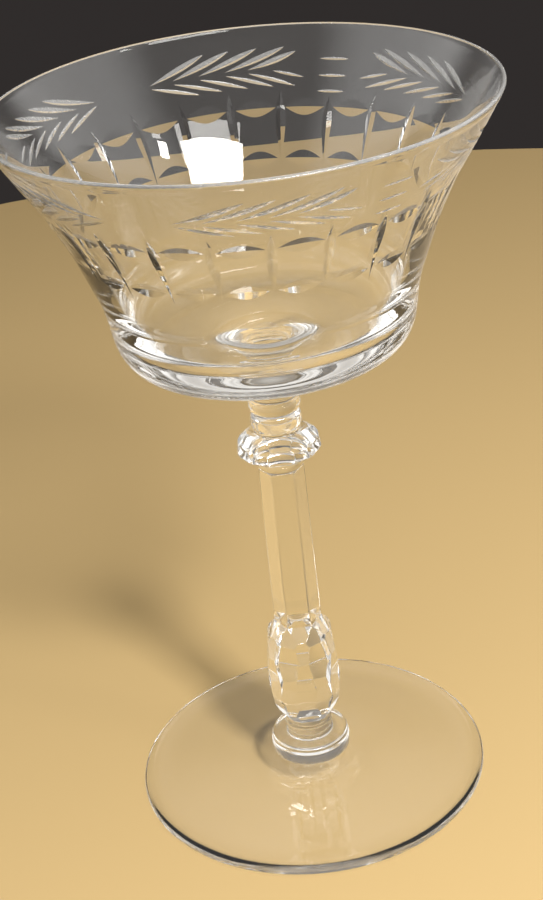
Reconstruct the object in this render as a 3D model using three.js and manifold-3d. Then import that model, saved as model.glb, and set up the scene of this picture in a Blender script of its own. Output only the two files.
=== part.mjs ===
// Stemmed sherbet glass in clear glass, in millimetres, +Z up.
// The origin is the centre of the foot's underside, on the surface that the glass stands on.
// The sections are stacked on the Z axis and meet face to face on flat seams, where the real glass is fused.
import * as THREE from 'three';
import { mergeVertices } from 'three/addons/utils/BufferGeometryUtils.js';
import Module from 'manifold-3d';

// ---- driving dimensions ------------------------------------------------------------------------------
const RIM_Z = 162.5; // overall height
const RIM_R = 51.4; // outer radius of the rim
const RIM_LIP = 0.5; // radius of the fire-polished lip
const UNDER_Z = 108.35; // flat underside of the bowl, round its neck
const FLOOR_Z = 113.4; // inside floor of the bowl, on the axis
const FOOT_R = 40.0; // outer radius of the foot
const FOOT_EDGE = 1.7; // thickness of the foot at its edge
const REST_IN = 33.5; // resting ring on the foot's underside, inner radius
const REST_OUT = 39.2; // resting ring, outer radius
const FOOT_HOLLOW = 2.2; // depth of the hollow under the foot

// seam heights, from the foot up
const Z_FOOT = 5.6; // foot to button
const Z_BUTTON = 15.0; // button to lower knop
const Z_LOWER = 41.0; // lower knop to shaft
const Z_SHAFT = 79.9; // shaft to knop ring
const Z_RING = 82.2; // knop ring to upper knop
const Z_KNOP = 93.9; // upper knop to collar
const Z_COLLAR = 98.2; // collar to bowl

const SIDES = 6; // panels on the stem
const FACE_AZ = -89; // azimuth of one panel's normal, in degrees
const SHAFT_TOP_R = 5.01; // corner radius of the shaft at its top
const SHAFT_LOW_R = 5.35; // corner radius of the shaft at its foot
const KNOP_TOP = 89.5; // top of the knop's cut faces, at its neck
const KNOP_FLAT = 8.55; // axis to the broad faces of the upper knop
const KNOP_EDGE = 8.9; // axis to the narrow faces between them
const BUTTON_R = 9.05; // outer radius of the button
const COLLAR_R = 5.2; // radius of the seam between collar and bowl

// ---- materials ---------------------------------------------------------------------------------------
const glass = (name) => {
  const m = new THREE.MeshStandardMaterial({ color: 0xe9eeec, roughness: 0.03, metalness: 0.0, transparent: true, opacity: 0.35 });
  m.name = name;
  return m;
};

// ---- helpers -----------------------------------------------------------------------------------------
// Turns a profile of [radius, height] points about Z. The profile runs from the axis, out and up the outside, and back to the axis.
function turned(profile, segments = 32) {
  const g = new THREE.LatheGeometry(profile.map(([r, z]) => new THREE.Vector2(r, z)), segments);
  g.rotateX(Math.PI / 2);
  return g;
}

// A smooth run of points through the given [radius, height] points.
function smooth(points, count) {
  const c = new THREE.CatmullRomCurve3(points.map(([r, z]) => new THREE.Vector3(r, z, 0)), false, 'centripetal');
  return c.getSpacedPoints(count).map((p) => [p.x, p.y]);
}

// One ring of cut faces: a plane for each panel, tilted up by tilt degrees, through the point at radius r and height z.
function faces(turn, tilt, r, z) {
  const out = [];
  const e = THREE.MathUtils.degToRad(tilt);
  for (let k = 0; k < SIDES; k++) {
    const a = THREE.MathUtils.degToRad(FACE_AZ + turn + (k * 360) / SIDES);
    const n = new THREE.Vector3(Math.cos(e) * Math.cos(a), Math.cos(e) * Math.sin(a), Math.sin(e));
    out.push(new THREE.Plane(n, -(Math.cos(e) * r + Math.sin(e) * z)));
  }
  return out;
}

const level = (z, up) => new THREE.Plane(new THREE.Vector3(0, 0, up ? 1 : -1), up ? -z : z);

// The convex solid inside all of the planes: each face starts as a large square and is clipped by the other planes.
function cutSolid(planes) {
  const pos = [];
  const BIG = 400;
  const keys = new Map();
  const snap = (p) => {
    const k = [p.x, p.y, p.z].map((v) => Math.round(v * 2e4)).join(',');
    if (!keys.has(k)) keys.set(k, p.clone());
    return keys.get(k);
  };
  for (const f of planes) {
    const n = f.normal;
    const u = new THREE.Vector3(Math.abs(n.z) > 0.9 ? 1 : 0, 0, Math.abs(n.z) > 0.9 ? 0 : 1).cross(n).normalize();
    const v = n.clone().cross(u);
    const o = n.clone().multiplyScalar(-f.constant);
    let poly = [[-1, -1], [1, -1], [1, 1], [-1, 1]].map(([a, b]) => o.clone().addScaledVector(u, a * BIG).addScaledVector(v, b * BIG));
    for (const c of planes) {
      if (c === f || poly.length === 0) continue;
      const next = [];
      for (let i = 0; i < poly.length; i++) {
        const p = poly[i];
        const q = poly[(i + 1) % poly.length];
        const dp = c.distanceToPoint(p);
        const dq = c.distanceToPoint(q);
        if (dp <= 1e-9) next.push(p);
        if ((dp < -1e-9 && dq > 1e-9) || (dp > 1e-9 && dq < -1e-9)) next.push(p.clone().lerp(q, dp / (dp - dq)));
      }
      poly = next;
    }
    const ring = [];
    for (const p of poly) {
      const s = snap(p);
      if (ring[ring.length - 1] !== s && !(ring.length && ring[0] === s)) ring.push(s);
    }
    for (let i = 1; i + 1 < ring.length; i++) {
      for (const p of [ring[0], ring[i], ring[i + 1]]) pos.push(p.x, p.y, p.z);
    }
  }
  const g = new THREE.BufferGeometry();
  g.setAttribute('position', new THREE.Float32BufferAttribute(pos, 3));
  return g;
}

// ---- joining two closed bodies into one --------------------------------------------------------------
const wasm = await Module();
wasm.setup();
function solid(geometry) {
  const g = geometry.clone();
  g.deleteAttribute('normal');
  g.deleteAttribute('uv');
  const m = mergeVertices(g, 1e-4);
  return new wasm.Manifold(new wasm.Mesh({
    numProp: 3,
    vertProperties: new Float32Array(m.attributes.position.array),
    triVerts: new Uint32Array(m.index.array),
  }));
}
function body(manifold) {
  const mesh = manifold.getMesh();
  const g = new THREE.BufferGeometry();
  g.setAttribute('position', new THREE.Float32BufferAttribute(mesh.vertProperties, 3));
  g.setIndex(new THREE.Uint32BufferAttribute(mesh.triVerts, 1));
  g.computeVertexNormals();
  return g;
}

// ---- bowl --------------------------------------------------------------------------------------------
const bowlOuter = smooth([
  [COLLAR_R, Z_COLLAR], [5.5, 100.2], [6.15, 102.6], [7.5, 105.2], [10.0, 107.1], [14.0, 108.0], [20.0, UNDER_Z], [24.5, 108.65], [27.4, 109.3],
  [29.4, 110.7], [30.75, 112.8], [31.5, 115.2], [31.95, 118.0], [32.4, 121.0], [33.4, 125.0], [34.85, 129.0], [37.8, 137.0], [41.6, 145.0],
  [46.3, 153.0], [RIM_R - 0.15, RIM_Z - 0.9],
], 30);
const lip = [];
for (const degrees of [-10, 0, 45, 90, 160]) {
  const a = THREE.MathUtils.degToRad(degrees);
  lip.push([RIM_R - RIM_LIP + RIM_LIP * Math.cos(a), RIM_Z - RIM_LIP + RIM_LIP * Math.sin(a)]);
}
const bowlInner = smooth([
  [RIM_R - 1.42, RIM_Z - 1.2], [44.85, 153.0], [39.95, 145.0], [35.85, 137.0], [32.5, 129.0], [29.65, 122.0], [28.0, 117.8],
  [25.4, 115.1], [20.0, 113.9], [10.0, 113.45], [0.0, FLOOR_Z],
], 20);
bowlInner[bowlInner.length - 1][0] = 0;
const bowl = turned([[0, Z_COLLAR], ...bowlOuter, ...lip, ...bowlInner], 48);

// ---- collar under the bowl ---------------------------------------------------------------------------
const collar = turned([
  [0, Z_KNOP], [4.9, Z_KNOP], [5.3, 94.25], [5.55, 94.85], [5.6, 95.45], [5.45, 96.1], [5.15, 96.6], [4.98, 97.1], [5.0, 97.6],
  [COLLAR_R, Z_COLLAR], [0, Z_COLLAR],
]);

// ---- upper knop, with its neck ring ------------------------------------------------------------------
const HALF = 180 / SIDES;
const knopCut = cutSolid([
  ...faces(0, 12, KNOP_FLAT, 85.6), ...faces(HALF, 9, KNOP_EDGE, 85.4),
  ...faces(0, 52, 6.95, 88.3), ...faces(HALF, 42, 7.9, 87.6),
  ...faces(0, -62, 7.6, 83.75), ...faces(HALF, -56, 8.2, 84.1),
  level(KNOP_TOP, true), level(Z_RING, false),
]);
const neckRing = turned([
  [0, 89.1], [4.9, 89.1], [5.1, KNOP_TOP], [5.2, 89.9], [5.4, 90.7], [5.5, 91.6], [5.45, 92.5], [5.25, 93.2], [5.0, 93.65], [4.9, Z_KNOP], [0, Z_KNOP],
]);
const upperKnop = body(solid(knopCut).add(solid(neckRing)));

// ---- ring under the knop -----------------------------------------------------------------------------
const knopRing = turned([
  [0, Z_SHAFT], [4.0, Z_SHAFT], [4.65, 80.15], [4.95, 80.65], [5.0, 81.1], [4.85, 81.65], [4.6, 81.95], [4.5, Z_RING], [0, Z_RING],
]);

// ---- panelled shaft ----------------------------------------------------------------------------------
const shaft = new THREE.CylinderGeometry(SHAFT_TOP_R, SHAFT_LOW_R, Z_SHAFT - Z_LOWER, SIDES, 1);
shaft.rotateX(Math.PI / 2);
shaft.rotateZ(THREE.MathUtils.degToRad(FACE_AZ + 90 - HALF));
shaft.translate(0, 0, (Z_SHAFT + Z_LOWER) / 2);

// ---- lower knop: a long faceted baluster -------------------------------------------------------------
const lowerKnop = cutSolid([
  ...faces(0, 42, SHAFT_LOW_R * Math.cos(Math.PI / SIDES), Z_LOWER), ...faces(0, 10, 7.4, 37.0), ...faces(0, -1, 8.0, 26.0),
  ...faces(0, -18, 7.6, 20.5), ...faces(0, -38, 6.5, 17.0),
  ...faces(HALF, 25, 6.9, 37.8), ...faces(HALF, 5, 7.75, 31.0), ...faces(HALF, -6, 7.85, 23.0), ...faces(HALF, -33, 6.7, 17.0),
  level(Z_LOWER, true), level(Z_BUTTON, false),
]);

// ---- button, with the ringed waist above it ----------------------------------------------------------
const button = turned([
  [0, Z_FOOT], [8.5, Z_FOOT], [8.9, 5.95], [BUTTON_R, 6.6], [BUTTON_R, 8.5], [8.85, 8.95], [8.75, 9.15], [8.85, 9.35], [8.7, 9.9],
  [8.2, 10.2], [5.95, 10.35], [5.4, 10.6], [5.15, 11.1], [5.05, 11.6], [5.3, 12.1], [5.4, 12.7], [5.3, 13.3], [5.05, 13.8], [4.85, 14.3],
  [4.75, Z_BUTTON], [0, Z_BUTTON],
]);

// ---- foot --------------------------------------------------------------------------------------------
const footTop = smooth([[FOOT_R - 0.35, FOOT_EDGE - 0.05], [34.0, 2.0], [27.0, 2.45], [20.0, 3.15], [14.0, 4.2], [10.6, 5.15], [8.6, Z_FOOT]], 11);
const footUnder = smooth([[0, FOOT_HOLLOW], [10.0, 2.0], [20.0, 1.3], [28.0, 0.55], [REST_IN, 0]], 7);
footUnder[0][0] = 0;
const foot = turned([
  ...footUnder, [REST_OUT, 0], [39.75, 0.25], [FOOT_R, 0.8], [39.9, 1.3], ...footTop, [0, Z_FOOT],
], 48);

// ---- the glass ---------------------------------------------------------------------------------------
const group = new THREE.Group();
group.name = 'sherbet_glass';
const add = (name, geometry) => {
  const m = new THREE.Mesh(geometry, glass(name));
  m.name = name;
  group.add(m);
};
add('bowl', bowl);
add('bowl_collar', collar);
add('upper_knop', upperKnop);
add('knop_ring', knopRing);
add('stem_shaft', shaft);
add('lower_knop', lowerKnop);
add('foot_button', button);
add('foot', foot);

export default group;
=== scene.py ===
import math

import bpy
import numpy as np
from mathutils import Matrix, Vector
from mathutils.geometry import delaunay_2d_cdt


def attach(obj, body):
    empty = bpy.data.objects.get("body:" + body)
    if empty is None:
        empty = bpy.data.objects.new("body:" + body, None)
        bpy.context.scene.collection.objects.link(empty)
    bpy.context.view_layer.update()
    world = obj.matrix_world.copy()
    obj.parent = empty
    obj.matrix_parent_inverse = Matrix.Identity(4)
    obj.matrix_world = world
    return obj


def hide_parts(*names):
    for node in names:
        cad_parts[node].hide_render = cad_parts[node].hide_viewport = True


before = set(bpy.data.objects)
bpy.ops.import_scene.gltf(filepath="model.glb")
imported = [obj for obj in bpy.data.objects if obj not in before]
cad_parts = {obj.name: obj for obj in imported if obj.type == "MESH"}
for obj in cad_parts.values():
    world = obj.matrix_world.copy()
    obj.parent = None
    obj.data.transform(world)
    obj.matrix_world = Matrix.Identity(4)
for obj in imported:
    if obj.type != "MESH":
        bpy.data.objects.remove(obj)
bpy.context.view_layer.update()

MM = 0.001
RAD = math.radians

# ------------------------------------------------------------------------------------------------------
# Dimensions, in millimetres, as in the construction
# ------------------------------------------------------------------------------------------------------
RIM_Z, RIM_R, RIM_LIP = 162.5, 51.4, 0.5
Z_FOOT, Z_BUTTON, Z_LOWER, Z_SHAFT, Z_RING, Z_KNOP, Z_COLLAR = 5.6, 15.0, 41.0, 79.9, 82.2, 93.9, 98.2
SIDES, FACE_AZ = 6, -89.0  # panels on the stem, and the azimuth of one panel
HALF = 180.0 / SIDES
SEAM_FOOT, SEAM_BUTTON, SEAM_SHAFT, SEAM_RING, SEAM_KNOP, SEAM_COLLAR = 8.5, 4.75, 4.0, 4.5, 4.9, 5.2
N_BOWL = 240  # steps round the bowl and the foot
N_STEM = 120  # steps round the turned parts of the stem
CHAMFER = 0.3  # width of the rounded edge between two cut faces

# cut decoration of the bowl
REPEATS = 3  # the decoration repeats three times round the bowl
PHASE = 63.4  # azimuth of one group of three dashes
BAND_LOW, BAND_HIGH = 131.6, 160.2

POLISHED, WELD, MATT, RIM = 0, 1, 2, 3


# ------------------------------------------------------------------------------------------------------
# Curves
# ------------------------------------------------------------------------------------------------------
def catmull(points, per=24):
    """A dense run of points on a centripetal curve through the given (radius, height) points."""
    p = np.array(points, float)
    p = np.vstack([2 * p[0] - p[1], p, 2 * p[-1] - p[-2]])
    out = []
    for i in range(1, len(p) - 2):
        a, b, c, d = p[i - 1], p[i], p[i + 1], p[i + 2]
        t0 = max(np.linalg.norm(b - a), 1e-9) ** 0.5
        t1 = max(np.linalg.norm(c - b), 1e-9) ** 0.5
        t2 = max(np.linalg.norm(d - c), 1e-9) ** 0.5
        m1 = ((b - a) / t0 - (c - a) / (t0 + t1) + (c - b) / t1) * t1
        m2 = ((c - b) / t1 - (d - b) / (t1 + t2) + (d - c) / t2) * t1
        for k in range(per):
            t = k / per
            out.append((2 * t**3 - 3 * t**2 + 1) * b + (t**3 - 2 * t**2 + t) * m1 + (-2 * t**3 + 3 * t**2) * c + (t**3 - t**2) * m2)
    out.append(p[-2])
    return np.array(out)


def length_of(p):
    return np.concatenate([[0.0], np.cumsum(np.linalg.norm(np.diff(p, axis=0), axis=1))])


def spaced(p, step):
    """Points on p at an even spacing of about step."""
    s = length_of(p)
    n = max(2, int(round(s[-1] / step)) + 1)
    t = np.linspace(0, s[-1], n)
    return np.c_[np.interp(t, s, p[:, 0]), np.interp(t, s, p[:, 1])]


def eased(p, sigma, step=0.1):
    """p with its small wobbles evened out over about sigma, its ends kept."""
    q = spaced(p, step)
    k = int(round(3 * sigma / step))
    w = np.exp(-0.5 * (np.arange(-k, k + 1) * step / sigma) ** 2)
    w /= w.sum()
    head = 2 * q[0] - q[k:0:-1]
    tail = 2 * q[-1] - q[-2 : -k - 2 : -1]
    r = np.vstack([head, q, tail])
    out = np.c_[np.convolve(r[:, 0], w, "valid"), np.convolve(r[:, 1], w, "valid")]
    out[0], out[-1] = q[0], q[-1]
    return out


# ------------------------------------------------------------------------------------------------------
# A closed shell, put together face by face
# ------------------------------------------------------------------------------------------------------
class Shell:
    def __init__(self):
        self.verts, self.faces, self.mats, self.smooth, self.normals = [], [], [], [], []

    def vert(self, p):
        self.verts.append((float(p[0]), float(p[1]), float(p[2])))
        return len(self.verts) - 1

    def face(self, ids, mat=POLISHED, normals=None):
        """normals are the corners' own. Without them the face is flat."""
        clean, kept = [], []
        for i, v in enumerate(ids):
            if v not in clean:
                clean.append(v)
                kept.append(i)
        if len(clean) < 3:
            return
        self.faces.append(clean)
        self.mats.append(mat)
        self.smooth.append(normals is not None)
        self.normals.append([normals[i] for i in kept] if normals is not None else [(0.0, 0.0, 0.0)] * len(clean))

    def ring(self, r, z, n):
        if r < 1e-9:
            return [self.vert((0, 0, z))] * n
        return [self.vert((r * math.cos(2 * math.pi * k / n), r * math.sin(2 * math.pi * k / n), z)) for k in range(n)]

    def turn(self, profile, n, first=None, last=None, mat=POLISHED, crease=38.0):
        """Turns a (radius, height) profile about Z. first and last are rings that are there already."""
        p = np.array(profile, float)
        d = np.diff(p, axis=0)
        seg = np.c_[d[:, 1], -d[:, 0]]
        seg /= np.linalg.norm(seg, axis=1)[:, None]
        lens = np.linalg.norm(d, axis=1)
        lo, hi = seg.copy(), seg.copy()
        for i in range(1, len(seg)):
            if math.degrees(math.acos(max(-1.0, min(1.0, float(seg[i - 1] @ seg[i]))))) < crease:
                m = seg[i - 1] * lens[i] + seg[i] * lens[i - 1]
                m /= np.linalg.norm(m)
                hi[i - 1] = m
                lo[i] = m
        rings = [first if (i == 0 and first is not None) else last if (i == len(p) - 1 and last is not None) else self.ring(p[i, 0], p[i, 1], n) for i in range(len(p))]
        ang = [2 * math.pi * k / n for k in range(n)]
        for i in range(len(seg)):
            a, b = rings[i], rings[i + 1]
            na = [(lo[i, 0] * math.cos(t), lo[i, 0] * math.sin(t), lo[i, 1]) for t in ang]
            nb = [(hi[i, 0] * math.cos(t), hi[i, 0] * math.sin(t), hi[i, 1]) for t in ang]
            for k in range(n):
                j = (k + 1) % n
                self.face([a[k], a[j], b[j], b[k]], mat, [na[k], na[j], nb[j], nb[k]])
        return rings

    def disc(self, ring, z, up, mat):
        """A flat round face that fills ring."""
        c = self.vert((0, 0, z))
        n = len(ring)
        for k in range(n):
            j = (k + 1) % n
            self.face([ring[k], ring[j], c] if up else [ring[j], ring[k], c], mat)

    def collar(self, outer, inner, up, mat=POLISHED):
        """A flat face between two closed runs of points round the axis, both anticlockwise from above."""
        def angles(ring):
            return [math.atan2(self.verts[v][1], self.verts[v][0]) % (2 * math.pi) for v in ring]
        def from_least(ring):
            a = angles(ring)
            i = a.index(min(a))
            return ring[i:] + ring[:i]
        o, i = from_least(outer), from_least(inner)
        ao, ai = angles(o) + [2 * math.pi + min(angles(o))], angles(i) + [2 * math.pi + min(angles(i))]
        x = y = 0
        while x < len(o) or y < len(i):
            step_out = y >= len(i) or (x < len(o) and ao[x + 1] <= ai[y + 1])
            a, b = o[x % len(o)], i[y % len(i)]
            if step_out:
                c = o[(x + 1) % len(o)]
                x += 1
            else:
                c = i[(y + 1) % len(i)]
                y += 1
            tri = [a, c, b]
            self.face(tri if up else tri[::-1], mat)

    def make(self, name, node, materials):
        mesh = bpy.data.meshes.new(name)
        mesh.from_pydata([(x * MM, y * MM, z * MM) for x, y, z in self.verts], [], self.faces)
        for m in materials:
            mesh.materials.append(m)
        mesh.polygons.foreach_set("material_index", self.mats)
        mesh.polygons.foreach_set("use_smooth", self.smooth)
        mesh.update()
        mesh.normals_split_custom_set([n for f in self.normals for n in f])
        mesh.update()
        o = bpy.data.objects.new(name, mesh)
        bpy.context.scene.collection.objects.link(o)
        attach(o, "root")
        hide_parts(node)
        return o


# ------------------------------------------------------------------------------------------------------
# Faceted solids: planes, and a narrow rounded edge along every edge between two cut faces
# ------------------------------------------------------------------------------------------------------
def cut_faces(turn, tilt, r, z):
    out = []
    e = RAD(tilt)
    for k in range(SIDES):
        a = RAD(FACE_AZ + turn + 2 * HALF * k)
        n = np.array([math.cos(e) * math.cos(a), math.cos(e) * math.sin(a), math.sin(e)])
        out.append((n, math.cos(e) * r + math.sin(e) * z))
    return out


def level(z, up):
    return (np.array([0.0, 0.0, 1.0 if up else -1.0]), z if up else -z)


def clip(planes):
    """The faces of the solid inside all planes: for each plane its corners in order, or none."""
    out = []
    for i, (n, c) in enumerate(planes):
        u = np.cross(n, [1.0, 0, 0] if abs(n[2]) > 0.9 else [0, 0, 1.0])
        u /= np.linalg.norm(u)
        v = np.cross(n, u)
        poly = [n * c + 300 * (a * u + b * v) for a, b in ((-1, -1), (1, -1), (1, 1), (-1, 1))]
        for j, (m, d) in enumerate(planes):
            if j == i or not poly:
                continue
            if m @ n > 1 - 1e-12 and abs(c - d) < 1e-9 and j < i:
                poly = []
                break
            dist = [float(m @ p - d) for p in poly]
            new = []
            for k in range(len(poly)):
                p, q, dp, dq = poly[k], poly[(k + 1) % len(poly)], dist[k], dist[(k + 1) % len(poly)]
                if dp <= 1e-9:
                    new.append(p)
                if (dp < -1e-9 and dq > 1e-9) or (dp > 1e-9 and dq < -1e-9):
                    new.append(p + (q - p) * (dp / (dp - dq)))
            poly = new
        out.append(poly)
    return out


def with_edges(planes, bare=()):
    """planes and one more along each edge, for the narrow rounded edges. An edge at a plane in bare stays sharp."""
    corners = {}
    for i, poly in enumerate(clip(planes)):
        for p in poly:
            corners.setdefault(tuple(np.round(p, 4)), set()).add(i)
    more, seen = [], set()
    polys = clip(planes)
    for i, poly in enumerate(polys):
        for k in range(len(poly)):
            p, q = poly[k], poly[(k + 1) % len(poly)]
            if np.linalg.norm(q - p) < 0.05:
                continue
            both = (corners[tuple(np.round(p, 4))] & corners[tuple(np.round(q, 4))]) - {i}
            for j in both:
                if (min(i, j), max(i, j)) in seen or i in bare or j in bare:
                    continue
                seen.add((min(i, j), max(i, j)))
                n = planes[i][0] + planes[j][0]
                n /= np.linalg.norm(n)
                half = math.acos(max(-1.0, min(1.0, float(planes[i][0] @ planes[j][0])))) / 2
                more.append((n, float(n @ p) - 0.5 * CHAMFER * math.tan(half)))
    return list(planes) + more


def facets(shell, planes, main, skip=()):
    """Adds the solid's faces, and returns the corners of the faces in skip, which are left open. The planes from main on are rounded edges."""
    ids = {}
    def bent(p):
        on = [n for n, c in planes[:main] if abs(float(n @ p) - c) < 5e-4] or [n for n, c in planes[main:] if abs(float(n @ p) - c) < 5e-4]
        n = sum(on)
        return tuple(n / np.linalg.norm(n))
    def vid(p):
        key = tuple(np.round(p, 4) + 0.0)
        if key not in ids:
            ids[key] = shell.vert(p)
        return ids[key]
    left = {}
    for i, poly in enumerate(clip(planes)):
        run, at = [], []
        for p in poly:
            v = vid(p)
            if v not in run:
                run.append(v)
                at.append(p)
        if len(run) < 3:
            continue
        if i in skip:
            left[i] = run
        else:
            shell.face(run, POLISHED, [bent(p) for p in at] if i >= main else None)
    return left


def anticlockwise(shell, run):
    a = sum(shell.verts[run[k]][0] * shell.verts[run[(k + 1) % len(run)]][1] - shell.verts[run[(k + 1) % len(run)]][0] * shell.verts[run[k]][1] for k in range(len(run)))
    return run if a > 0 else run[::-1]


# ------------------------------------------------------------------------------------------------------
# Materials
# ------------------------------------------------------------------------------------------------------
def glass(name, rough_low, rough_high, tint, through, wave=0.05, wave_scale=70.0, mark_scale=140.0, clear=1.0, film=0.0):
    """Clear glass with a faint waviness and faint traces of handling. through is the share of a lamp's light that one face lets by."""
    m = bpy.data.materials.new(name)
    m.use_nodes = True
    t = m.node_tree
    t.nodes.clear()
    out = t.nodes.new("ShaderNodeOutputMaterial")
    b = t.nodes.new("ShaderNodeBsdfPrincipled")
    b.inputs["Base Color"].default_value = (*tint, 1.0)
    b.inputs["Transmission Weight"].default_value = clear
    b.inputs["Sheen Weight"].default_value = film
    b.inputs["Sheen Roughness"].default_value = 0.35
    b.inputs["IOR"].default_value = 1.53
    b.inputs["Metallic"].default_value = 0.0
    at = t.nodes.new("ShaderNodeTexCoord")
    marks = t.nodes.new("ShaderNodeTexNoise")
    marks.inputs["Scale"].default_value = mark_scale
    marks.inputs["Detail"].default_value = 5.0
    marks.inputs["Roughness"].default_value = 0.62
    span = t.nodes.new("ShaderNodeMapRange")
    span.inputs["From Min"].default_value = 0.48
    span.inputs["From Max"].default_value = 0.78
    span.inputs["To Min"].default_value = rough_low
    span.inputs["To Max"].default_value = rough_high
    waves = t.nodes.new("ShaderNodeTexNoise")
    waves.inputs["Scale"].default_value = wave_scale
    waves.inputs["Detail"].default_value = 1.0
    bump = t.nodes.new("ShaderNodeBump")
    bump.inputs["Strength"].default_value = wave
    bump.inputs["Distance"].default_value = 0.0006
    t.links.new(at.outputs["Object"], marks.inputs["Vector"])
    t.links.new(at.outputs["Object"], waves.inputs["Vector"])
    t.links.new(marks.outputs["Fac"], span.inputs["Value"])
    t.links.new(span.outputs["Result"], b.inputs["Roughness"])
    t.links.new(waves.outputs["Fac"], bump.inputs["Height"])
    t.links.new(bump.outputs["Normal"], b.inputs["Normal"])
    path = t.nodes.new("ShaderNodeLightPath")
    shade = t.nodes.new("ShaderNodeBsdfTransparent")
    shade.inputs["Color"].default_value = (through, through, through, 1.0)
    both = t.nodes.new("ShaderNodeMixShader")
    t.links.new(path.outputs["Is Shadow Ray"], both.inputs[0])
    t.links.new(b.outputs["BSDF"], both.inputs[1])
    t.links.new(shade.outputs["BSDF"], both.inputs[2])
    t.links.new(both.outputs["Shader"], out.inputs["Surface"])
    return m


def weld(name):
    """The seam inside the glass, where two sections are fused: nothing shows there."""
    m = bpy.data.materials.new(name)
    m.use_nodes = True
    t = m.node_tree
    t.nodes.clear()
    out = t.nodes.new("ShaderNodeOutputMaterial")
    b = t.nodes.new("ShaderNodeBsdfTransparent")
    t.links.new(b.outputs["BSDF"], out.inputs["Surface"])
    return m


CLEAR = (0.985, 0.99, 0.985)
BOWL_GLASS = glass("bowl_glass", 0.0, 0.02, CLEAR, 0.9, film=0.12)
STEM_GLASS = glass("stem_glass", 0.0, 0.015, CLEAR, 0.7, wave=0.02, film=0.04)
FOOT_GLASS = glass("foot_glass", 0.0, 0.03, (0.997, 1.0, 0.997), 1.0, film=0.03)
CUT_GLASS = glass("matt_cut_glass", 0.14, 0.34, (0.93, 0.935, 0.93), 0.7, wave=0.35, wave_scale=1500.0, clear=0.8)
RIM_GLASS = glass("rim_glass", 0.18, 0.4, (0.95, 0.955, 0.95), 0.7, wave=0.1, wave_scale=900.0, clear=0.85)
SEAM = weld("fused_seam")


# ------------------------------------------------------------------------------------------------------
# Bowl
# ------------------------------------------------------------------------------------------------------
OUTER = eased(catmull([
    (SEAM_COLLAR, Z_COLLAR), (5.5, 100.2), (6.15, 102.6), (7.5, 105.2), (10.0, 107.1), (14.0, 108.0), (20.0, 108.35), (24.5, 108.65),
    (27.4, 109.3), (29.4, 110.7), (30.75, 112.8), (31.5, 115.2), (31.95, 118.0), (32.4, 121.0), (33.4, 125.0), (34.85, 129.0),
    (37.8, 137.0), (41.6, 145.0), (46.3, 153.0), (RIM_R - 0.15, RIM_Z - 0.9)]), 0.9)
INNER = eased(catmull([
    (RIM_R - 1.42, RIM_Z - 1.2), (44.85, 153.0), (39.95, 145.0), (35.85, 137.0), (32.5, 129.0), (29.65, 122.0), (28.0, 117.8),
    (25.4, 115.1), (20.0, 113.9), (10.0, 113.45), (0.0, 113.4)]), 0.9)
_s_outer = length_of(OUTER)


def along_at(z):
    """Length along the bowl's outer profile, on its wall above the heel, at height z."""
    wall = OUTER[:, 1] > 116
    return np.interp(z, OUTER[wall, 1], _s_outer[wall])


def wall_at(s):
    """Radius, height and the two parts of the outward normal at length s along the outer profile."""
    s = np.asarray(s, float)
    r, z = np.interp(s, _s_outer, OUTER[:, 0]), np.interp(s, _s_outer, OUTER[:, 1])
    a, b = np.clip(s - 0.4, 0, _s_outer[-1]), np.clip(s + 0.4, 0, _s_outer[-1])
    dr = np.interp(b, _s_outer, OUTER[:, 0]) - np.interp(a, _s_outer, OUTER[:, 0])
    dz = np.interp(b, _s_outer, OUTER[:, 1]) - np.interp(a, _s_outer, OUTER[:, 1])
    m = np.hypot(dr, dz)
    return r, z, dz / m, -dr / m


def place(a, s, depth=0.0):
    """The point at azimuth a (degrees) and profile length s, that far below the surface, and the outward normal there."""
    r, z, nr, nz = wall_at(s)
    t = np.radians(a)
    n = np.stack([nr * np.cos(t), nr * np.sin(t), nz * np.ones_like(t)], -1)
    p = np.stack([r * np.cos(t), r * np.sin(t), z * np.ones_like(t)], -1)
    return p - np.asarray(depth)[..., None] * n, n


class Cut:
    """One wheel cut in the band. Its middle line runs from a0, z0 to a1, z1 (degrees from the middle of the repeat, and heights).
    half is its greatest half width, deep the depth there, peak the place of the greatest width from 0 to 1, fat how full its ends are.
    ridge moves the deepest line towards one side. side keeps only one half of a cut that lies on the edge of the repeat."""

    def __init__(self, a0, z0, a1, z1, half, deep, mat, peak=0.5, fat=1.0, ridge=0.0, steps=16, side=0, bend=0.0):
        s0, s1 = float(along_at(z0)), float(along_at(z1))
        t = 0.5 - 0.5 * np.cos(np.linspace(0, math.pi, steps + 1))
        power = math.log(0.5) / math.log(peak)
        shape = np.sin(math.pi * t**power) ** fat
        shape[0] = shape[-1] = 0.0
        a, s = a0 + (a1 - a0) * t, s0 + (s1 - s0) * t
        r = wall_at(s)[0]
        du, dv = np.gradient(a) * math.pi / 180 * r, np.gradient(s)
        m = np.hypot(du, dv)
        pu, pv = -dv / m, du / m
        w = half * shape
        off = bend * (1 - (2 * t - 1) ** 2)
        self.mid = (a + np.degrees((off + ridge * w) * pu / r), s + (off + ridge * w) * pv)
        self.left = (a + np.degrees((off + w) * pu / r), s + (off + w) * pv)
        self.right = (a + np.degrees((off - w) * pu / r), s + (off - w) * pv)
        self.depth = deep * shape
        self.mat, self.side, self.steps = mat, side, steps

    def outline(self):
        """(azimuth, length) of the closed outline, anticlockwise: along the right side and back along the left."""
        if self.side == 0:
            return np.r_[self.right[0], self.left[0][-2:0:-1]], np.r_[self.right[1], self.left[1][-2:0:-1]]
        line = self.left if self.side > 0 else self.right
        return np.r_[line[0], self.mid[0][-2:0:-1]], np.r_[line[1], self.mid[1][-2:0:-1]]


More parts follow.
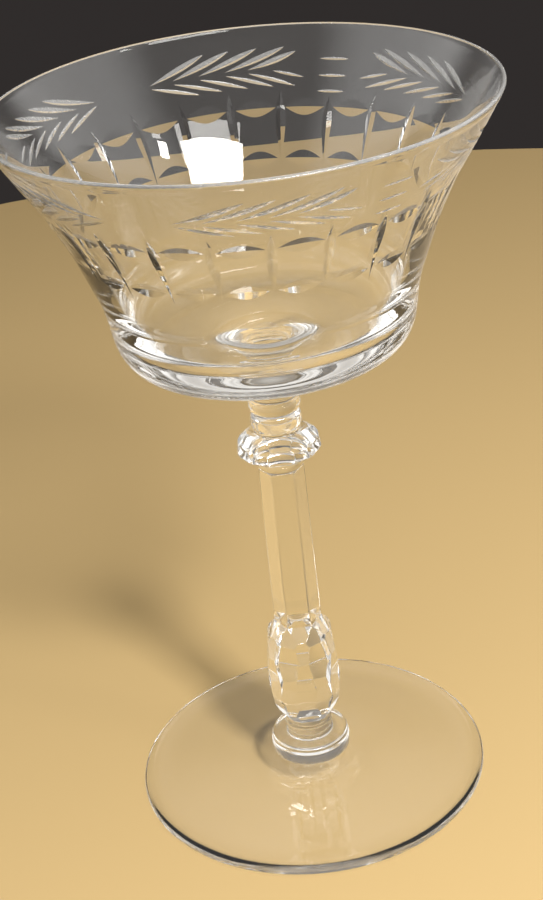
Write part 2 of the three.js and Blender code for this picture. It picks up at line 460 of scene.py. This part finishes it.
def decoration():
    cuts = []
    # three dashes, one above another
    for z in (155.3, 152.1, 149.15):
        cuts.append(Cut(-4.0, z, 4.0, z, 0.32, 0.16, MATT, steps=10, fat=0.55))
    for m in (1, -1):
        # tip of the spray
        cuts.append(Cut(m * 17.0, 153.2, m * 8.4, 151.8, 0.34, 0.18, MATT, steps=10, fat=0.7))
        # laurel leaves, in pairs
        for i, b in enumerate((50.8, 44.2, 36.9, 29.6, 23.4)):
            long, top = (15.6, 157.7) if i < 4 else (12.5, 156.8)
            cuts.append(Cut(m * (b + 0.6), 153.7, m * (b - long), top, 0.66, 0.24, MATT, peak=0.6, fat=0.7, ridge=0.45 * m, bend=0.3 * m))
            cuts.append(Cut(m * (b + 0.4), 153.0, m * (b - 12.6), 150.2, 0.42, 0.22, MATT, peak=0.52, fat=0.7, ridge=-0.25 * m, steps=14))
    # upright mitre cuts, every 15 degrees, and two rows of level mitre cuts between them
    for k in range(-4, 5):
        top = 148.3 if k == 0 else 149.4
        cuts.append(Cut(15 * k, 133.0, 15 * k, top, 1.1, 0.36, POLISHED, peak=0.66, steps=24, side=1 if k == 4 else -1 if k == -4 else 0))
    for k in range(-4, 4):
        c = 15 * k + 7.5
        cuts.append(Cut(c - 6.1, 146.2, c + 6.1, 146.2, 1.85, 0.27, POLISHED, steps=20))
        cuts.append(Cut(c - 6.3, 136.3, c + 6.3, 136.3, 1.65, 0.26, POLISHED, steps=20))
    return cuts


def inside(poly, pts):
    """Which of pts lie inside the closed polygon."""
    x, y = pts[:, 0], pts[:, 1]
    hit = np.zeros(len(pts), bool)
    for (x0, y0), (x1, y1) in zip(poly, np.roll(poly, -1, axis=0)):
        c = (y0 > y) != (y1 > y)
        if c.any():
            hit[c] ^= x[c] < (x1 - x0) * (y[c] - y0) / (y1 - y0) + x0
    return hit


def bowl():
    sh = Shell()
    n_patch = N_BOWL // REPEATS
    s_low, s_high = float(along_at(BAND_LOW)), float(along_at(BAND_HIGH))
    span = 360.0 / REPEATS
    flat = math.radians(1) * 43.0  # degrees to millimetres, for the flat plan of the band
    cuts = decoration()

    # the plan's points: azimuth, length, depth
    pts = []
    def add(a, s, d=0.0):
        pts.append((a, s, d))
        return len(pts) - 1
    keys = {}
    def shared(a, s, d=0.0):
        k = (round(a, 5), round(s, 5))
        if k not in keys:
            keys[k] = add(a, s, d)
        return keys[k]

    limits = []
    for c in cuts:
        la, ls = c.outline()
        c.plan = np.c_[la * flat, ls]
        line = lambda side: [shared(x, y) for x, y in zip(*side)]
        c.l, c.r = (line(c.left) if c.side >= 0 else None), (line(c.right) if c.side <= 0 else None)
        c.m = [shared(x, y, d) for x, y, d in zip(*c.mid, c.depth)]
        for run in (c.l, c.r):
            if run:
                limits += list(zip(run, run[1:]))
    half = span / 2
    n_outline = len(pts)
    # edges of the repeat
    edge_low = [shared(-half + span * k / n_patch, s_low) for k in range(n_patch + 1)]
    edge_high = [shared(-half + span * k / n_patch, s_high) for k in range(n_patch + 1)]
    tips = [c for c in cuts if c.side]
    tip_low, tip_high = min(min(c.mid[1]) for c in tips), max(max(c.mid[1]) for c in tips)
    side_runs = {}
    for a in (-half, half):
        low = [shared(a, s) for s in np.linspace(s_low, tip_low, 4)]
        high = [shared(a, s) for s in np.linspace(tip_high, s_high, 12)]
        mid = next(c.m for c in cuts if c.side and abs(c.mid[0][0] - a) < 1e-6)
        side_runs[a] = low + mid[1:-1] + high
        limits += list(zip(low, low[1:])) + list(zip(high, high[1:]))
    limits += list(zip(edge_low, edge_low[1:])) + list(zip(edge_high, edge_high[1:]))
    # points between the cuts, which carry the bowl's curve
    taken = np.array([(p[0] * flat, p[1]) for p in pts])
    rows = np.linspace(s_low, s_high, int((s_high - s_low) / 1.05) + 1)[1:-1]
    free = []
    for i, s in enumerate(rows):
        free += [(-half * flat + 1.2 * (k + 0.5 * (i % 2)), s) for k in range(1, int(span * flat / 1.2))]
    free = np.array([p for p in free if abs(p[0]) < half * flat - 0.5])
    near = np.min(np.linalg.norm(free[:, None] - taken[None], axis=2), axis=1) if len(free) < 6000 else None
    keep = near > 0.5
    for c in cuts:
        keep &= ~inside(c.plan, free)
    for u, s in free[keep]:
        add(u / flat, s)
    plan = [Vector((p[0] * flat, p[1])) for p in pts]
    got, _, tris, whence, _, _ = delaunay_2d_cdt(plan, limits, [], 0, 1e-6)
    name = []
    for i, w in enumerate(whence):
        if w:
            name.append(w[0])
        else:
            name.append(add(got[i].x / flat, got[i].y))
    tri = np.array([[name[i] for i in t] for t in tris])
    arr = np.array(pts)
    mid = np.c_[arr[tri, 0].mean(1) * flat, arr[tri, 1].mean(1)]
    open_ = np.ones(len(tri), bool)
    for c in cuts:
        open_ &= ~inside(c.plan, mid)
    tri = tri[open_]
    flatarea = (arr[tri[:, 1], 0] - arr[tri[:, 0], 0]) * (arr[tri[:, 2], 1] - arr[tri[:, 0], 1]) - (arr[tri[:, 2], 0] - arr[tri[:, 0], 0]) * (arr[tri[:, 1], 1] - arr[tri[:, 0], 1])
    tri = tri[np.abs(flatarea) > 1e-9]
    flatarea = flatarea[np.abs(flatarea) > 1e-9]
    tri[flatarea < 0] = tri[flatarea < 0][:, ::-1]

    # the three repeats
    right_to_left = dict(zip(side_runs[half], side_runs[-half]))
    where = {}
    def vid(i, rep):
        if i in right_to_left:
            i, rep = right_to_left[i], rep + 1
        k = (i, rep % REPEATS)
        if k not in where:
            a, s, d = pts[i]
            p, _ = place(np.array([PHASE + a + span * k[1]]), np.array([s]), np.array([d]))
            where[k] = sh.vert(p[0])
        return where[k]
    def normal(i, rep):
        a, s, _ = pts[i]
        return tuple(place(np.array([PHASE + a + span * rep]), np.array([s]))[1][0])
    for rep in range(REPEATS):
        for t in tri:
            sh.face([vid(i, rep) for i in t], POLISHED, [normal(i, rep) for i in t])
        for c in cuts:
            for run, sign in ((c.l, 1), (c.r, -1)):
                if not run:
                    continue
                o = np.array([sh.verts[vid(i, rep)] for i in run])
                m = np.array([sh.verts[vid(i, rep)] for i in c.m])
                # the cut face's normal at each step, smooth along its length
                along = np.gradient((o + m) / 2, axis=0)
                across = o - m
                across[0], across[-1] = across[1], across[-2]
                nn = np.cross(along, across) * (1 if sign > 0 else -1)
                out = np.array([normal(i, rep) for i in run])
                nn *= np.sign((nn * out).sum(1))[:, None]
                nn /= np.linalg.norm(nn, axis=1)[:, None]
                for k in range(len(run) - 1):
                    ids = [vid(c.m[k], rep), vid(c.m[k + 1], rep), vid(run[k + 1], rep), vid(run[k], rep)]
                    ns = [tuple(nn[k]), tuple(nn[k + 1]), tuple(nn[k + 1]), tuple(nn[k])]
                    if sign < 0:
                        ids, ns = ids[::-1], ns[::-1]
                    sh.face(ids, c.mat, ns)
    low = [vid(edge_low[k % n_patch], k // n_patch) for k in range(N_BOWL)]
    high = [vid(edge_high[k % n_patch], k // n_patch) for k in range(N_BOWL)]

    # the rest is turned. Its steps start where the decoration's do
    start = PHASE - half
    def ring(self, r, z, n):
        if r < 1e-9:
            return [self.vert((0, 0, z))] * n
        return [self.vert((r * math.cos(RAD(start + 360 * k / n)), r * math.sin(RAD(start + 360 * k / n)), z)) for k in range(n)]
    def turn(profile, first=None, last=None, normals=None, worn=()):
        p = np.array(profile, float)
        rings = [first if (i == 0 and first is not None) else last if (i == len(p) - 1 and last is not None) else ring(sh, p[i, 0], p[i, 1], N_BOWL) for i in range(len(p))]
        d = np.gradient(p, axis=0)
        nn = np.c_[d[:, 1], -d[:, 0]]
        nn /= np.linalg.norm(nn, axis=1)[:, None]
        if normals:
            for i, v in normals.items():
                nn[i] = v
        t = [RAD(start + 360 * k / N_BOWL) for k in range(N_BOWL)]
        c, s = np.cos(t), np.sin(t)
        for i in range(len(p) - 1):
            a, b = rings[i], rings[i + 1]
            for k in range(N_BOWL):
                j = (k + 1) % N_BOWL
                sh.face([a[k], a[j], b[j], b[k]], RIM if i in worn else POLISHED,
                        [(nn[i, 0] * c[k], nn[i, 0] * s[k], nn[i, 1]), (nn[i, 0] * c[j], nn[i, 0] * s[j], nn[i, 1]),
                         (nn[i + 1, 0] * c[j], nn[i + 1, 0] * s[j], nn[i + 1, 1]), (nn[i + 1, 0] * c[k], nn[i + 1, 0] * s[k], nn[i + 1, 1])])
        return rings
    below = OUTER[_s_outer < s_low - 1e-6]
    below = spaced(np.vstack([below, [wall_at(s_low)[0], wall_at(s_low)[1]]]), 0.8)
    first = turn(below, last=low, normals={len(below) - 1: [float(x) for x in wall_at(s_low)[2:]]})[0]
    above = OUTER[_s_outer > s_high + 1e-6]
    arc = [(RIM_R - RIM_LIP + RIM_LIP * math.cos(RAD(a)), RIM_Z - RIM_LIP + RIM_LIP * math.sin(RAD(a))) for a in np.linspace(-6, 150, 14)]
    head = np.vstack([[[wall_at(s_high)[0], wall_at(s_high)[1]]], spaced(above, 0.4)[1:-1]])
    run = np.vstack([head, arc, spaced(INNER[4:], 0.9)])
    turn(run, first=high, normals={0: [float(x) for x in wall_at(s_high)[2:]], len(run) - 1: [0.0, 1.0]}, worn=range(len(head), len(head) + len(arc) - 1))
    sh.disc(first, Z_COLLAR, False, WELD)
    return sh.make("bowl_cut_glass", "bowl", [BOWL_GLASS, SEAM, CUT_GLASS, RIM_GLASS])


# ------------------------------------------------------------------------------------------------------
# Stem, from the collar down
# ------------------------------------------------------------------------------------------------------
def run_of(points, step=0.16, per=10):
    return spaced(catmull(points, per), step)


def bowl_collar():
    sh = Shell()
    p = run_of([(SEAM_KNOP, Z_KNOP), (5.3, 94.25), (5.55, 94.85), (5.6, 95.45), (5.45, 96.1), (5.15, 96.6), (4.98, 97.1), (5.0, 97.6), (SEAM_COLLAR, Z_COLLAR)])
    rings = sh.turn(p, N_STEM)
    sh.disc(rings[0], Z_KNOP, False, WELD)
    sh.disc(rings[-1], Z_COLLAR, True, WELD)
    return sh.make("bowl_collar_glass", "bowl_collar", [STEM_GLASS, SEAM])


def upper_knop():
    sh = Shell()
    base = (cut_faces(0, 12, 8.55, 85.6) + cut_faces(HALF, 9, 8.9, 85.4) + cut_faces(0, 52, 6.95, 88.3) + cut_faces(HALF, 42, 7.9, 87.6)
            + cut_faces(0, -62, 7.6, 83.75) + cut_faces(HALF, -56, 8.2, 84.1) + [level(89.5, True), level(Z_RING, False)])
    top, low = len(base) - 2, len(base) - 1
    left = facets(sh, with_edges(base), len(base), skip=(top, low))
    neck = run_of([(5.1, 89.5), (5.2, 89.9), (5.4, 90.7), (5.5, 91.6), (5.45, 92.5), (5.25, 93.2), (5.0, 93.65), (SEAM_KNOP, Z_KNOP)])
    rings = sh.turn(neck, N_STEM)
    sh.collar(anticlockwise(sh, left[top]), rings[0], True)
    sh.disc(rings[-1], Z_KNOP, True, WELD)
    seam = sh.ring(SEAM_RING, Z_RING, N_STEM)
    sh.collar(anticlockwise(sh, left[low]), seam, False)
    sh.disc(seam, Z_RING, False, WELD)
    return sh.make("upper_knop_glass", "upper_knop", [STEM_GLASS, SEAM])


def knop_ring():
    sh = Shell()
    p = run_of([(SEAM_SHAFT, Z_SHAFT), (4.65, 80.15), (4.95, 80.65), (5.0, 81.1), (4.85, 81.65), (4.6, 81.95), (SEAM_RING, Z_RING)])
    rings = sh.turn(p, N_STEM)
    sh.disc(rings[0], Z_SHAFT, False, WELD)
    sh.disc(rings[-1], Z_RING, True, WELD)
    return sh.make("knop_ring_glass", "knop_ring", [STEM_GLASS, SEAM])


SHAFT_TOP, SHAFT_LOW = 5.01 * math.cos(RAD(HALF)), 5.35 * math.cos(RAD(HALF))  # axis to panel


def stem_shaft():
    sh = Shell()
    tilt = math.degrees(math.atan((SHAFT_LOW - SHAFT_TOP) / (Z_SHAFT - Z_LOWER)))
    base = cut_faces(0, tilt, SHAFT_LOW, Z_LOWER) + [level(Z_SHAFT, True), level(Z_LOWER, False)]
    planes = with_edges(base, bare=(SIDES + 1,))
    left = facets(sh, planes, len(base), skip=(SIDES, SIDES + 1))
    seam = sh.ring(SEAM_SHAFT, Z_SHAFT, N_STEM)
    sh.collar(anticlockwise(sh, left[SIDES]), seam, True)
    sh.disc(seam, Z_SHAFT, True, WELD)
    sh.face(anticlockwise(sh, left[SIDES + 1])[::-1], WELD)
    return sh.make("stem_shaft_glass", "stem_shaft", [STEM_GLASS, SEAM])


def lower_knop():
    sh = Shell()
    base = (cut_faces(0, 42, SHAFT_LOW, Z_LOWER) + cut_faces(0, 10, 7.4, 37.0) + cut_faces(0, -1, 8.0, 26.0) + cut_faces(0, -18, 7.6, 20.5) + cut_faces(0, -38, 6.5, 17.0)
            + cut_faces(HALF, 25, 6.9, 37.8) + cut_faces(HALF, 5, 7.75, 31.0) + cut_faces(HALF, -6, 7.85, 23.0) + cut_faces(HALF, -33, 6.7, 17.0)
            + [level(Z_LOWER, True), level(Z_BUTTON, False)])
    top, low = len(base) - 2, len(base) - 1
    left = facets(sh, with_edges(base, bare=(top,)), len(base), skip=(top, low))
    sh.face(anticlockwise(sh, left[top]), WELD)
    seam = sh.ring(SEAM_BUTTON, Z_BUTTON, N_STEM)
    sh.collar(anticlockwise(sh, left[low]), seam, False)
    sh.disc(seam, Z_BUTTON, False, WELD)
    return sh.make("lower_knop_glass", "lower_knop", [STEM_GLASS, SEAM])


def foot_button():
    sh = Shell()
    p = np.vstack([
        run_of([(SEAM_FOOT, Z_FOOT), (8.9, 5.95), (9.05, 6.6), (9.05, 8.5), (8.85, 8.95), (8.75, 9.15)]),
        run_of([(8.75, 9.15), (8.85, 9.35), (8.7, 9.9), (8.2, 10.2), (7.0, 10.3), (5.95, 10.35), (5.4, 10.6), (5.15, 11.1), (5.05, 11.6)])[1:],
        run_of([(5.05, 11.6), (5.3, 12.1), (5.4, 12.7), (5.3, 13.3), (5.05, 13.8), (4.85, 14.3), (SEAM_BUTTON, Z_BUTTON)])[1:]])
    rings = sh.turn(p, N_STEM)
    sh.disc(rings[0], Z_FOOT, False, WELD)
    sh.disc(rings[-1], Z_BUTTON, True, WELD)
    return sh.make("foot_button_glass", "foot_button", [STEM_GLASS, SEAM])


def foot():
    sh = Shell()
    under = spaced(eased(catmull([(0.0, 2.2), (10.0, 2.0), (20.0, 1.3), (28.0, 0.55), (33.5, 0.0)]), 0.8), 1.0)
    under[0, 0] = 0.0
    edge = spaced(catmull([(39.2, 0.0), (39.75, 0.25), (40.0, 0.8), (39.9, 1.3), (39.65, 1.65)], 12), 0.12)
    top = spaced(eased(catmull([(39.65, 1.65), (34.0, 2.0), (27.0, 2.45), (20.0, 3.15), (14.0, 4.2), (10.6, 5.15), (8.6, Z_FOOT)]), 0.8), 0.7)
    p = np.vstack([under, [[36.0, 0.0]], edge, top[1:], [[SEAM_FOOT, Z_FOOT]]])
    rings = sh.turn(p, N_BOWL)
    sh.disc(rings[-1], Z_FOOT, True, WELD)
    return sh.make("foot_glass", "foot", [FOOT_GLASS, SEAM])


for build in (bowl, bowl_collar, upper_knop, knop_ring, stem_shaft, lower_knop, foot_button, foot):
    build()


# ------------------------------------------------------------------------------------------------------
# Floor, backdrop, lights and camera
# ------------------------------------------------------------------------------------------------------
def floor(radius, steps=128):
    mesh = bpy.data.meshes.new("floor")
    ring = [(radius * math.cos(2 * math.pi * k / steps), radius * math.sin(2 * math.pi * k / steps), 0.0) for k in range(steps)]
    low = [(x, y, -0.02) for x, y, _ in ring]
    mesh.from_pydata(ring + low, [], [list(range(steps)), list(range(steps, 2 * steps))[::-1]] + [[k + steps, (k + 1) % steps + steps, (k + 1) % steps, k] for k in range(steps)])
    m = bpy.data.materials.new("floor")
    m.use_nodes = True
    b = m.node_tree.nodes["Principled BSDF"]
    b.inputs["Base Color"].default_value = (0.60, 0.43, 0.20, 1)
    b.inputs["Roughness"].default_value = 0.5
    b.inputs["Specular IOR Level"].default_value = 0.1
    mesh.materials.append(m)
    o = bpy.data.objects.new("floor", mesh)
    bpy.context.scene.collection.objects.link(o)
    return o


floor(0.437).location.z = -0.00002

world = bpy.data.worlds.new("room")
bpy.context.scene.world = world
world.use_nodes = True
world.cycles_visibility.diffuse = False
t = world.node_tree
sky = t.nodes["Background"]
sky.inputs["Strength"].default_value = 1.0
# a pale room, dark only low down behind the glass
way = t.nodes.new("ShaderNodeTexCoord")
parts = t.nodes.new("ShaderNodeSeparateXYZ")
t.links.new(way.outputs["Generated"], parts.inputs["Vector"])


def fall(socket, bright, dark):
    """0 where the direction's part is at bright, 1 where it is at dark, smooth between."""
    m = t.nodes.new("ShaderNodeMapRange")
    m.interpolation_type = "SMOOTHSTEP"
    m.inputs["From Min"].default_value, m.inputs["From Max"].default_value = min(bright, dark), max(bright, dark)
    m.inputs["To Min"].default_value, m.inputs["To Max"].default_value = (0.0, 1.0) if dark > bright else (1.0, 0.0)
    t.links.new(parts.outputs[socket], m.inputs["Value"])
    return m.outputs["Result"]


depth = t.nodes.new("ShaderNodeMath")
depth.operation = "MULTIPLY"
t.links.new(fall("Z", 0.0, -0.1), depth.inputs[0])
near = t.nodes.new("ShaderNodeMath")
near.operation = "MULTIPLY"
t.links.new(fall("Y", 0.0, 0.3), near.inputs[0])
t.links.new(near.outputs["Value"], depth.inputs[1])
room = t.nodes.new("ShaderNodeMix")
room.data_type = "RGBA"
sides = t.nodes.new("ShaderNodeMath")
sides.operation = "MULTIPLY"
across = t.nodes.new("ShaderNodeMath")
across.operation = "ABSOLUTE"
t.links.new(parts.outputs["X"], across.inputs[0])
wing = t.nodes.new("ShaderNodeMapRange")
wing.interpolation_type = "SMOOTHSTEP"
wing.inputs["From Min"].default_value, wing.inputs["From Max"].default_value = 0.5, 0.8
t.links.new(across.outputs["Value"], wing.inputs["Value"])
t.links.new(wing.outputs["Result"], sides.inputs[0])
slit = t.nodes.new("ShaderNodeMapRange")
slit.interpolation_type = "SMOOTHSTEP"
slit.inputs["From Min"].default_value, slit.inputs["From Max"].default_value = 0.2, 0.42
slit.inputs["To Min"].default_value, slit.inputs["To Max"].default_value = 1.0, 0.0
t.links.new(across.outputs["Value"], slit.inputs["Value"])
t.links.new(slit.outputs["Result"], near.inputs[1])
t.links.new(fall("Z", 0.18, 0.36), sides.inputs[1])


def both(a, b, how):
    m = t.nodes.new("ShaderNodeMath")
    m.operation = how
    t.links.new(a, m.inputs[0])
    t.links.new(b, m.inputs[1])
    return m.outputs["Value"]


def blend(a, b, share):
    m = t.nodes.new("ShaderNodeMix")
    m.data_type = "RGBA"
    m.inputs[6].default_value, m.inputs[7].default_value = a, b
    t.links.new(share, m.inputs[0])
    return m.outputs[2]


# mid grey behind the glass, pale elsewhere, bright high up at the sides and overhead
rear = both(fall("Y", 0.05, 0.4), fall("Z", 0.72, 0.5), "MULTIPLY")
overhead = t.nodes.new("ShaderNodeMath")
overhead.operation = "MULTIPLY"
overhead.inputs[1].default_value = 0.3
t.links.new(fall("Z", 0.7, 0.85), overhead.inputs[0])
bright = both(sides.outputs["Value"], overhead.outputs["Value"], "MAXIMUM")
walls = t.nodes.new("ShaderNodeMix")
walls.data_type = "RGBA"
t.links.new(blend((0.62, 0.60, 0.57, 1), (0.22, 0.21, 0.20, 1), rear), walls.inputs[6])
walls.inputs[7].default_value = (1.8, 1.77, 1.72, 1)
t.links.new(bright, walls.inputs[0])
t.links.new(walls.outputs[2], room.inputs[6])
room.inputs[7].default_value = (0.03, 0.026, 0.025, 1)
t.links.new(depth.outputs["Value"], room.inputs[0])
t.links.new(room.outputs[2], sky.inputs["Color"])


def lamp(name, az, el, dist, size, power, colour=(1, 1, 1), aim=(0, 0, 0.1)):
    d = bpy.data.lights.new(name, "AREA")
    d.shape = "RECTANGLE"
    d.size, d.size_y = size
    d.energy = power
    d.color = colour
    o = bpy.data.objects.new(name, d)
    a, e = RAD(az), RAD(el)
    to = Vector((math.cos(e) * math.cos(a), math.cos(e) * math.sin(a), math.sin(e)))
    o.location = Vector(aim) + to * dist
    o.rotation_mode = "QUATERNION"
    o.rotation_quaternion = to.to_track_quat("Z", "Y")
    o.visible_camera = False
    bpy.context.scene.collection.objects.link(o)
    return o


lamp("key", -66, 33, 0.5, (0.31, 0.13), 3.75, (1.0, 0.97, 0.93), (0, 0, 0.135)).visible_diffuse = False
spot = lamp("spot", -60, 46, 0.8, (0.12, 0.12), 10.0, (1.0, 0.97, 0.93), (0, 0, 0.05))
lamp("glint", -31, 35, 0.5, (0.04, 0.04), 0.25, (1.0, 0.97, 0.93), (0, 0, 0.135))
fill = lamp("fill", -60, 72, 1.2, (1.1, 1.1), 4.0, (1.0, 0.96, 0.9))
for o in (spot, fill):  # these light the floor and don't show in the glass
    o.visible_glossy = o.visible_transmission = False

# camera at the photograph's viewing angle
D, H, PITCH, YAW, ROLL, FOCAL = 340.72, 262.89, RAD(27.712), RAD(-0.286), RAD(-6.407), 1790.3
fwd = Vector((math.sin(YAW) * math.cos(PITCH), math.cos(YAW) * math.cos(PITCH), -math.sin(PITCH)))
right = Vector((math.cos(YAW), -math.sin(YAW), 0))
up = right.cross(fwd)
r = right * math.cos(ROLL) + up * math.sin(ROLL)
u = -right * math.sin(ROLL) + up * math.cos(ROLL)
cam = bpy.data.cameras.new("camera")
cam.sensor_width = 36.0
cam.lens = FOCAL * 36.0 / 900.0
cam.clip_start, cam.clip_end = 0.01, 20
camera = bpy.data.objects.new("camera", cam)
camera.matrix_world = Matrix(((r.x, u.x, -fwd.x, 0), (r.y, u.y, -fwd.y, -D * MM), (r.z, u.z, -fwd.z, H * MM), (0, 0, 0, 1)))
bpy.context.scene.collection.objects.link(camera)
scene = bpy.context.scene
scene.camera = camera
scene.view_settings.view_transform = "Standard"
scene.cycles.max_bounces = 24
scene.cycles.transmission_bounces = 24
scene.cycles.glossy_bounces = 12
scene.cycles.transparent_max_bounces = 32
scene.cycles.caustics_reflective = False
scene.cycles.caustics_refractive = False

bpy.context.view_layer.update()
